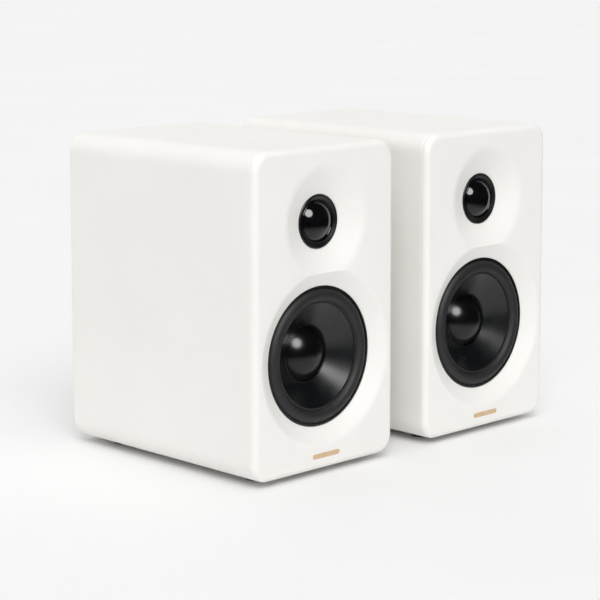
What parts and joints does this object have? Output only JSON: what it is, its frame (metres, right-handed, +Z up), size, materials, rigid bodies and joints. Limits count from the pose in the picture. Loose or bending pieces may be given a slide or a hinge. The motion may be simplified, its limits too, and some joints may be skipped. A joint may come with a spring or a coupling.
{
  "type": "desktop speakers",
  "caption": "Pair of small two-way desktop speakers in white satin cabinets with black drivers, the right-hand one active with rear controls, the left-hand one passive.",
  "frame": {"origin": "on the table, midway between the two cabinets and under the middle of the overall box", "axes": "+Z up, the speakers face -Y, +X runs from the passive to the active speaker"},
  "size_m": [0.2254, 0.147, 0.168],
  "materials": {
    "white_lacquer": "fibreboard in warm white satin lacquer",
    "gold_trim": "pale gold satin",
    "foot_rubber": "matt black rubber",
    "black_plastic": "moulded black, fine texture",
    "panel_black": "black powder coat",
    "foam": "grey fibre wadding",
    "blackened_steel": "blackened",
    "wire_insulation": "smooth red and black insulation",
    "frame_black": "moulded satin black",
    "edge_rubber": "satin black butyl rubber",
    "spider_cloth": "resin-dipped cotton",
    "cone_black": "satin charcoal pressed paper and resin",
    "gloss_black": "high gloss black",
    "dome_gloss": "high gloss black",
    "copper": "enamelled copper wire",
    "plated_steel": "zinc plated",
    "ferrite": "sintered, dull grey",
    "circuit_board": "green solder mask",
    "aluminium": "extruded",
    "knob_plastic": "moulded satin black",
    "jack_metal": "nickel plated over black plastic"
  },
  "bodies": {
    "active_speaker": {"active_cabinet": "white_lacquer", "active_front_baffle": "white_lacquer", "active_badge": "gold_trim", "active_feet": "foot_rubber", "active_port_tube": "black_plastic", "active_rear_panel": "panel_black", "active_link_socket": "black_plastic", "active_damping_pad": "foam", "active_screws": "blackened_steel", "active_wiring": "wire_insulation", "active_woofer_frame": "frame_black", "active_woofer_surround": "edge_rubber", "active_woofer_spider": "spider_cloth", "active_woofer_top_plate": "plated_steel", "active_woofer_magnet": "ferrite", "active_woofer_yoke": "plated_steel", "active_tweeter_faceplate": "frame_black", "active_tweeter_magnet": "ferrite", "active_tweeter_yoke": "plated_steel", "amplifier_board": "circuit_board", "heat_sink": "aluminium", "transformer": "plated_steel", "potentiometers": "black_plastic", "switch_housing": "black_plastic", "power_inlet": "black_plastic", "input_jacks": "jack_metal"},
    "passive_speaker": {"passive_cabinet": "white_lacquer", "passive_front_baffle": "white_lacquer", "passive_badge": "gold_trim", "passive_feet": "foot_rubber", "passive_port_tube": "black_plastic", "passive_rear_panel": "panel_black", "passive_link_socket": "black_plastic", "passive_damping_pad": "foam", "passive_screws": "blackened_steel", "passive_wiring": "wire_insulation", "passive_woofer_frame": "frame_black", "passive_woofer_surround": "edge_rubber", "passive_woofer_spider": "spider_cloth", "passive_woofer_top_plate": "plated_steel", "passive_woofer_magnet": "ferrite", "passive_woofer_yoke": "plated_steel", "passive_tweeter_faceplate": "frame_black", "passive_tweeter_magnet": "ferrite", "passive_tweeter_yoke": "plated_steel"},
    "active_woofer": {"active_woofer_cone": "cone_black", "active_woofer_dust_cap": "gloss_black", "active_woofer_voice_coil": "copper"},
    "active_tweeter": {"active_tweeter_dome": "dome_gloss", "active_tweeter_voice_coil": "copper"},
    "passive_woofer": {"passive_woofer_cone": "cone_black", "passive_woofer_dust_cap": "gloss_black", "passive_woofer_voice_coil": "copper"},
    "passive_tweeter": {"passive_tweeter_dome": "dome_gloss", "passive_tweeter_voice_coil": "copper"},
    "volume": {"volume_knob": "knob_plastic"},
    "treble": {"treble_knob": "knob_plastic"},
    "bass": {"bass_knob": "knob_plastic"},
    "mode": {"mode_button": "knob_plastic"},
    "power": {"power_rocker": "knob_plastic"}
  },
  "joints": [
    {"name": "speaker_spacing", "type": "slide", "parent": "active_speaker", "child": "passive_speaker", "axis": [-1, 0, 0], "range_m": [-0.02, 0.35]},
    {"name": "active_woofer_stroke", "type": "slide", "parent": "active_speaker", "child": "active_woofer", "axis": [0, -1, 0], "range_m": [-0.003, 0.003], "stiffness_N_per_m": 1200, "deforming": ["active_woofer_surround", "active_woofer_spider"]},
    {"name": "active_tweeter_stroke", "type": "slide", "parent": "active_speaker", "child": "active_tweeter", "axis": [0, -1, 0], "range_m": [-0.0004, 0.0004], "stiffness_N_per_m": 800, "deforming": ["active_tweeter_dome"]},
    {"name": "passive_woofer_stroke", "type": "slide", "parent": "passive_speaker", "child": "passive_woofer", "axis": [0, -1, 0], "range_m": [-0.003, 0.003], "stiffness_N_per_m": 1200, "deforming": ["passive_woofer_surround", "passive_woofer_spider"]},
    {"name": "passive_tweeter_stroke", "type": "slide", "parent": "passive_speaker", "child": "passive_tweeter", "axis": [0, -1, 0], "range_m": [-0.0004, 0.0004], "stiffness_N_per_m": 800, "deforming": ["passive_tweeter_dome"]},
    {"name": "volume_turn", "type": "hinge", "parent": "active_speaker", "child": "volume", "pos_m": [0.0407, 0.0645, 0.091], "axis": [0, -1, 0], "range_deg": [-150, 150]},
    {"name": "treble_turn", "type": "hinge", "parent": "active_speaker", "child": "treble", "pos_m": [0.0647, 0.0645, 0.091], "axis": [0, -1, 0], "range_deg": [-140, 140]},
    {"name": "bass_turn", "type": "hinge", "parent": "active_speaker", "child": "bass", "pos_m": [0.0847, 0.0645, 0.091], "axis": [0, -1, 0], "range_deg": [-140, 140]},
    {"name": "mode_press", "type": "slide", "parent": "active_speaker", "child": "mode", "axis": [0, -1, 0], "range_m": [0, 0.0012], "stiffness_N_per_m": 1500},
    {"name": "power_rock", "type": "hinge", "parent": "active_speaker", "child": "power", "pos_m": [0.0387, 0.0621, 0.036], "axis": [-1, 0, 0], "range_deg": [0, 14]}
  ]
}
